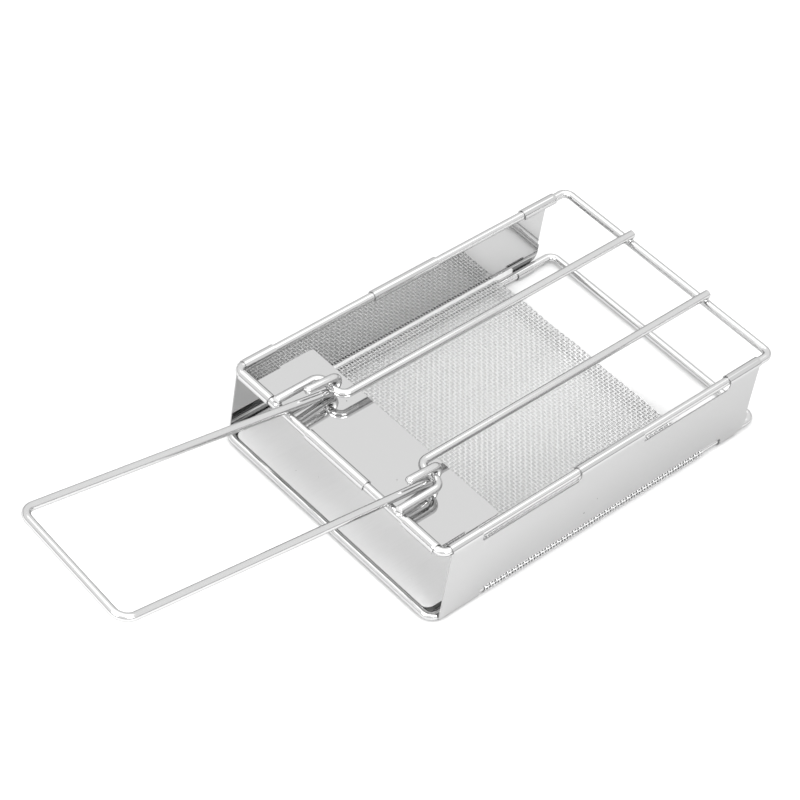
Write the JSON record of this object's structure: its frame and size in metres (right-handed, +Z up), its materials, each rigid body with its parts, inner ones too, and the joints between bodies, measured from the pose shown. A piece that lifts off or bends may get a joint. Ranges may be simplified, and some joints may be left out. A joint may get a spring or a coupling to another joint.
{
  "type": "folding camping grill basket",
  "caption": "Folding stainless grill basket with a woven wire floor, curled sheet walls, grill wires, a hinged front flap and a swing-out wire handle.",
  "frame": {"origin": "middle of the basket's frames in plan, at the level it rests on", "axes": "+X from the handle end to the open back end, +Y from the right wall to the left wall, +Z up"},
  "size_m": [0.2678, 0.1044, 0.0578],
  "materials": {
    "frame_wire": "drawn stainless wire, bright",
    "grill_wire": "drawn stainless wire, bright",
    "handle_wire": "drawn stainless wire, bright",
    "wall_sheet": "cold-rolled stainless sheet, bright annealed",
    "plate_sheet": "cold-rolled stainless sheet, bright annealed",
    "woven_mesh": "plain-woven stainless cloth"
  },
  "bodies": {
    "base": {"bottom_frame": "frame_wire", "floor_plate": "plate_sheet", "floor_mesh": "woven_mesh"},
    "right_side": {"right_wall": "wall_sheet"},
    "left_side": {"left_wall": "wall_sheet"},
    "top": {"top_frame": "frame_wire", "grill_wire_left": "grill_wire", "grill_wire_right": "grill_wire"},
    "flap": {"front_flap": "plate_sheet"},
    "handle": {"handle": "handle_wire"}
  },
  "joints": [
    {"name": "right_wall_fold", "type": "hinge", "parent": "base", "child": "right_side", "pos_m": [0, -0.05, 0.00222], "axis": [1, 0, 0], "range_deg": [-75, 75]},
    {"name": "left_wall_fold", "type": "hinge", "parent": "base", "child": "left_side", "pos_m": [0, 0.05, 0.00222], "axis": [1, 0, 0], "range_deg": [-75, 75]},
    {"name": "top_frame_fold", "type": "hinge", "parent": "right_side", "child": "top", "pos_m": [0, -0.05, 0.03322], "axis": [1, 0, 0], "range_deg": [-75, 75]},
    {"name": "flap_hinge", "type": "hinge", "parent": "top", "child": "flap", "pos_m": [-0.077, 0, 0.03322], "axis": [0, 1, 0], "range_deg": [0, 90]},
    {"name": "handle_hinge", "type": "hinge", "parent": "top", "child": "handle", "pos_m": [-0.0588, 0, 0.03624], "axis": [0, 1, 0], "range_deg": [0, 169]}
  ],
  "couplings": [
    {"joint": "left_wall_fold", "follows": "right_wall_fold", "ratio": 1},
    {"joint": "top_frame_fold", "follows": "right_wall_fold", "ratio": -1}
  ]
}
